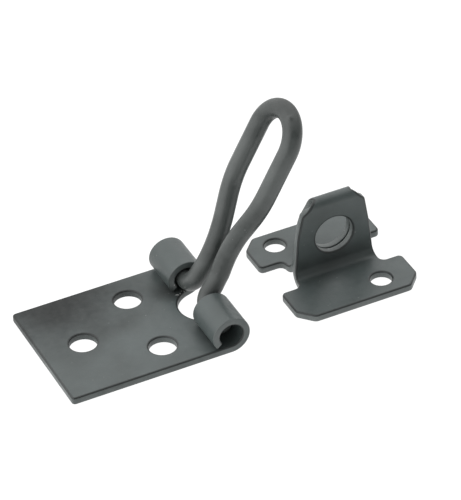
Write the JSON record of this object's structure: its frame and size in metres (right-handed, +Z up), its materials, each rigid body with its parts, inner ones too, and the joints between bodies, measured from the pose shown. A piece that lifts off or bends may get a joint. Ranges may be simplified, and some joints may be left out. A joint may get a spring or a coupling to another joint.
{
  "type": "wire hasp and staple",
  "caption": "Wire-loop hasp on a rolled sheet-steel plate, with a folded steel staple whose upright tab takes a padlock.",
  "frame": {"origin": "on the underside of the hasp plate, on its centre line, midway between the pair of screw holes and the single one", "axes": "+Z up from the mounting surface, +X from the plate towards the wire loop and the staple, Y along the axis of the knuckles"},
  "size_m": [0.0959, 0.038, 0.0526],
  "materials": {
    "plate_coating": "satin dark grey-green coating on sheet steel",
    "wire_coating": "satin dark grey-green coating on drawn steel wire",
    "staple_coating": "satin dark grey-green coating on sheet steel"
  },
  "bodies": {
    "hasp": {"hasp_plate": "plate_coating"},
    "loop": {"wire_loop": "wire_coating"},
    "staple_body": {"staple": "staple_coating"}
  },
  "joints": [
    {"name": "loop_swing", "type": "hinge", "parent": "hasp", "child": "loop", "pos_m": [0.02312, 0, 0.005], "axis": [0, -1, 0], "range_deg": [-59.5, 120.5]},
    {"name": "staple_place", "type": "slide", "parent": "hasp", "child": "staple_body", "axis": [1, 0, 0], "range_m": [0, 0.03]}
  ]
}
